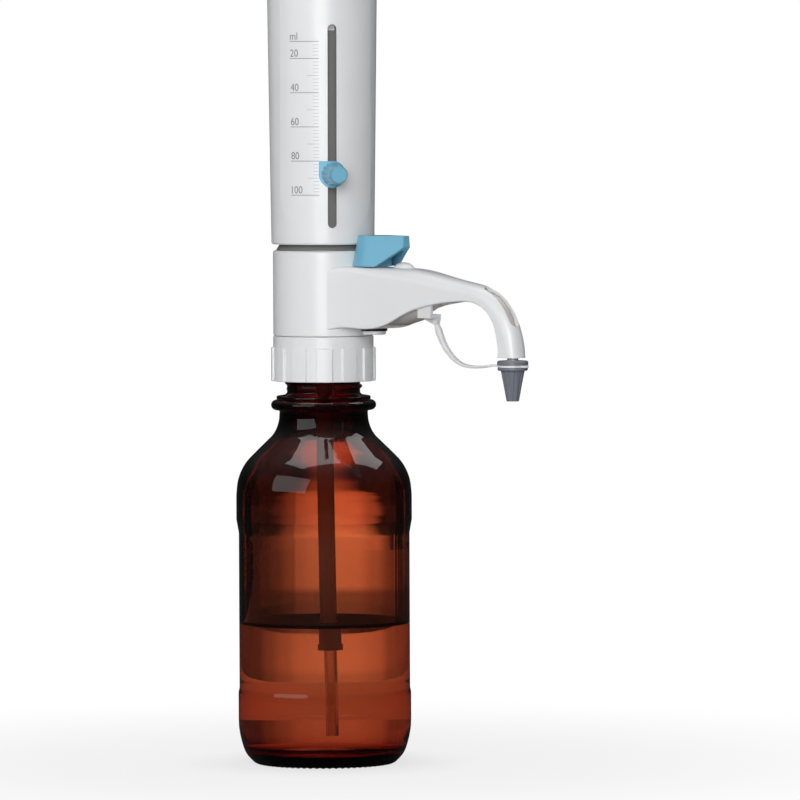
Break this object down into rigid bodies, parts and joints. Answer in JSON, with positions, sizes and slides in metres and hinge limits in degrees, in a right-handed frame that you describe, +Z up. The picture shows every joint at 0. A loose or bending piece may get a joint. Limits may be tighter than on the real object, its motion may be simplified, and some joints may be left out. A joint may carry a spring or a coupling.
{
  "type": "bottle-top dispenser",
  "caption": "Bottle-top dispenser on an amber screw-neck bottle: piston sleeve with volume slot and knob, valve block with gooseneck arm, tap lever, capped nozzle and dip tube.",
  "frame": {"origin": "centre of the bottle's base, on the bench", "axes": "+Z up along the bottle and the piston, +X along the discharge arm towards the nozzle"},
  "size_m": [0.2078, 0.102, 0.48],
  "materials": {
    "amber_glass": "clear amber, glossy",
    "clear_glass": "clear, glossy",
    "white_plastic": "moulded, satin",
    "core_plastic": "machined, matte",
    "guard_grey": "satin",
    "stop_white": "satin",
    "piston_white": "waxy, matte",
    "blue_plastic": "moulded, satin",
    "cap_grey": "moulded, satin",
    "valve_grey": "moulded, satin",
    "black_rubber": "matte",
    "seal": "waxy, matte",
    "valve_ceramic": "polished",
    "spring_wire": "bright drawn wire",
    "clear_tube": "translucent, smooth",
    "tether_white": "flexible, satin"
  },
  "bodies": {
    "bottle": {"bottle": "amber_glass"},
    "mouth_seal": {"bottle_seal": "seal"},
    "collar": {"collar_nut": "white_plastic"},
    "head": {"valve_block": "core_plastic", "housing": "white_plastic", "cylinder_seal": "seal", "glass_cylinder": "clear_glass", "guard_tube": "guard_grey", "volume_stop": "stop_white", "vent_washer": "black_rubber", "coupling_nut": "valve_grey", "discharge_valve_body": "valve_grey", "discharge_spring": "spring_wire", "discharge_tube": "clear_tube", "tether_clip": "tether_white", "tether_strap": "tether_white", "filling_valve_body": "core_plastic", "filling_valve_seat": "valve_ceramic", "filling_tube": "clear_tube", "return_tube": "clear_tube"},
    "piston": {"piston_head": "piston_white", "piston_seal": "piston_white", "piston_rod": "piston_white", "sleeve": "white_plastic", "sleeve_cap": "white_plastic"},
    "pointer": {"volume_pointer": "blue_plastic", "clamp_shoe": "core_plastic"},
    "knob": {"volume_knob": "blue_plastic"},
    "lever": {"lever": "blue_plastic", "stopcock_plug": "core_plastic"},
    "filling_ball": {"filling_ball": "valve_ceramic"},
    "discharge_ball": {"discharge_ball": "valve_ceramic"},
    "telescopic_tube": {"telescopic_tube": "clear_tube"},
    "nozzle_cap": {"nozzle_cap": "cap_grey", "tether_ring": "tether_white"},
    "vent_cap": {"vent_cap": "white_plastic"}
  },
  "joints": [
    {"name": "head_lift_off", "type": "slide", "parent": "bottle", "child": "mouth_seal", "axis": [0, 0, 1], "range_m": [0, 0.26]},
    {"name": "collar_turn", "type": "hinge", "parent": "mouth_seal", "child": "collar", "pos_m": [0, 0, 0.235], "axis": [0, 0, 1], "range_deg": [0, 900]},
    {"name": "head_swivel", "type": "hinge", "parent": "mouth_seal", "child": "head", "pos_m": [0, 0, 0.247], "axis": [0, 0, 1], "continuous": true},
    {"name": "piston_stroke", "type": "slide", "parent": "head", "child": "piston", "axis": [0, 0, 1], "range_m": [0, 0.09824]},
    {"name": "volume_setting", "type": "slide", "parent": "piston", "child": "pointer", "axis": [0.0107, -0.008, 0.9999], "range_m": [-0.01965, 0.06877]},
    {"name": "knob_turn", "type": "hinge", "parent": "pointer", "child": "knob", "pos_m": [0.02405, -0.01793, 0.3422], "axis": [0.8018, -0.5976, 0], "range_deg": [0, 270]},
    {"name": "lever_turn", "type": "hinge", "parent": "head", "child": "lever", "pos_m": [0.0412, 0, 0.298], "axis": [0, 0, 1], "range_deg": [0, 90]},
    {"name": "filling_ball_lift", "type": "slide", "parent": "head", "child": "filling_ball", "axis": [0, 0, 1], "range_m": [0, 0.002]},
    {"name": "discharge_ball_lift", "type": "slide", "parent": "head", "child": "discharge_ball", "axis": [1, 0, 0], "range_m": [0, 0.0015], "stiffness_N_per_m": 5, "springref_m": -0.003, "deforming": ["discharge_spring"]},
    {"name": "tube_extension", "type": "slide", "parent": "head", "child": "telescopic_tube", "axis": [-0.0117, -0.0105, 0.9999], "range_m": [-0.005, 0.045]},
    {"name": "nozzle_cap_pull", "type": "slide", "parent": "head", "child": "nozzle_cap", "axis": [0, 0, -1], "range_m": [0, 0.028], "deforming": ["tether_strap"]},
    {"name": "vent_cap_pull", "type": "slide", "parent": "head", "child": "vent_cap", "axis": [0, 0, -1], "range_m": [0, 0.02]}
  ]
}
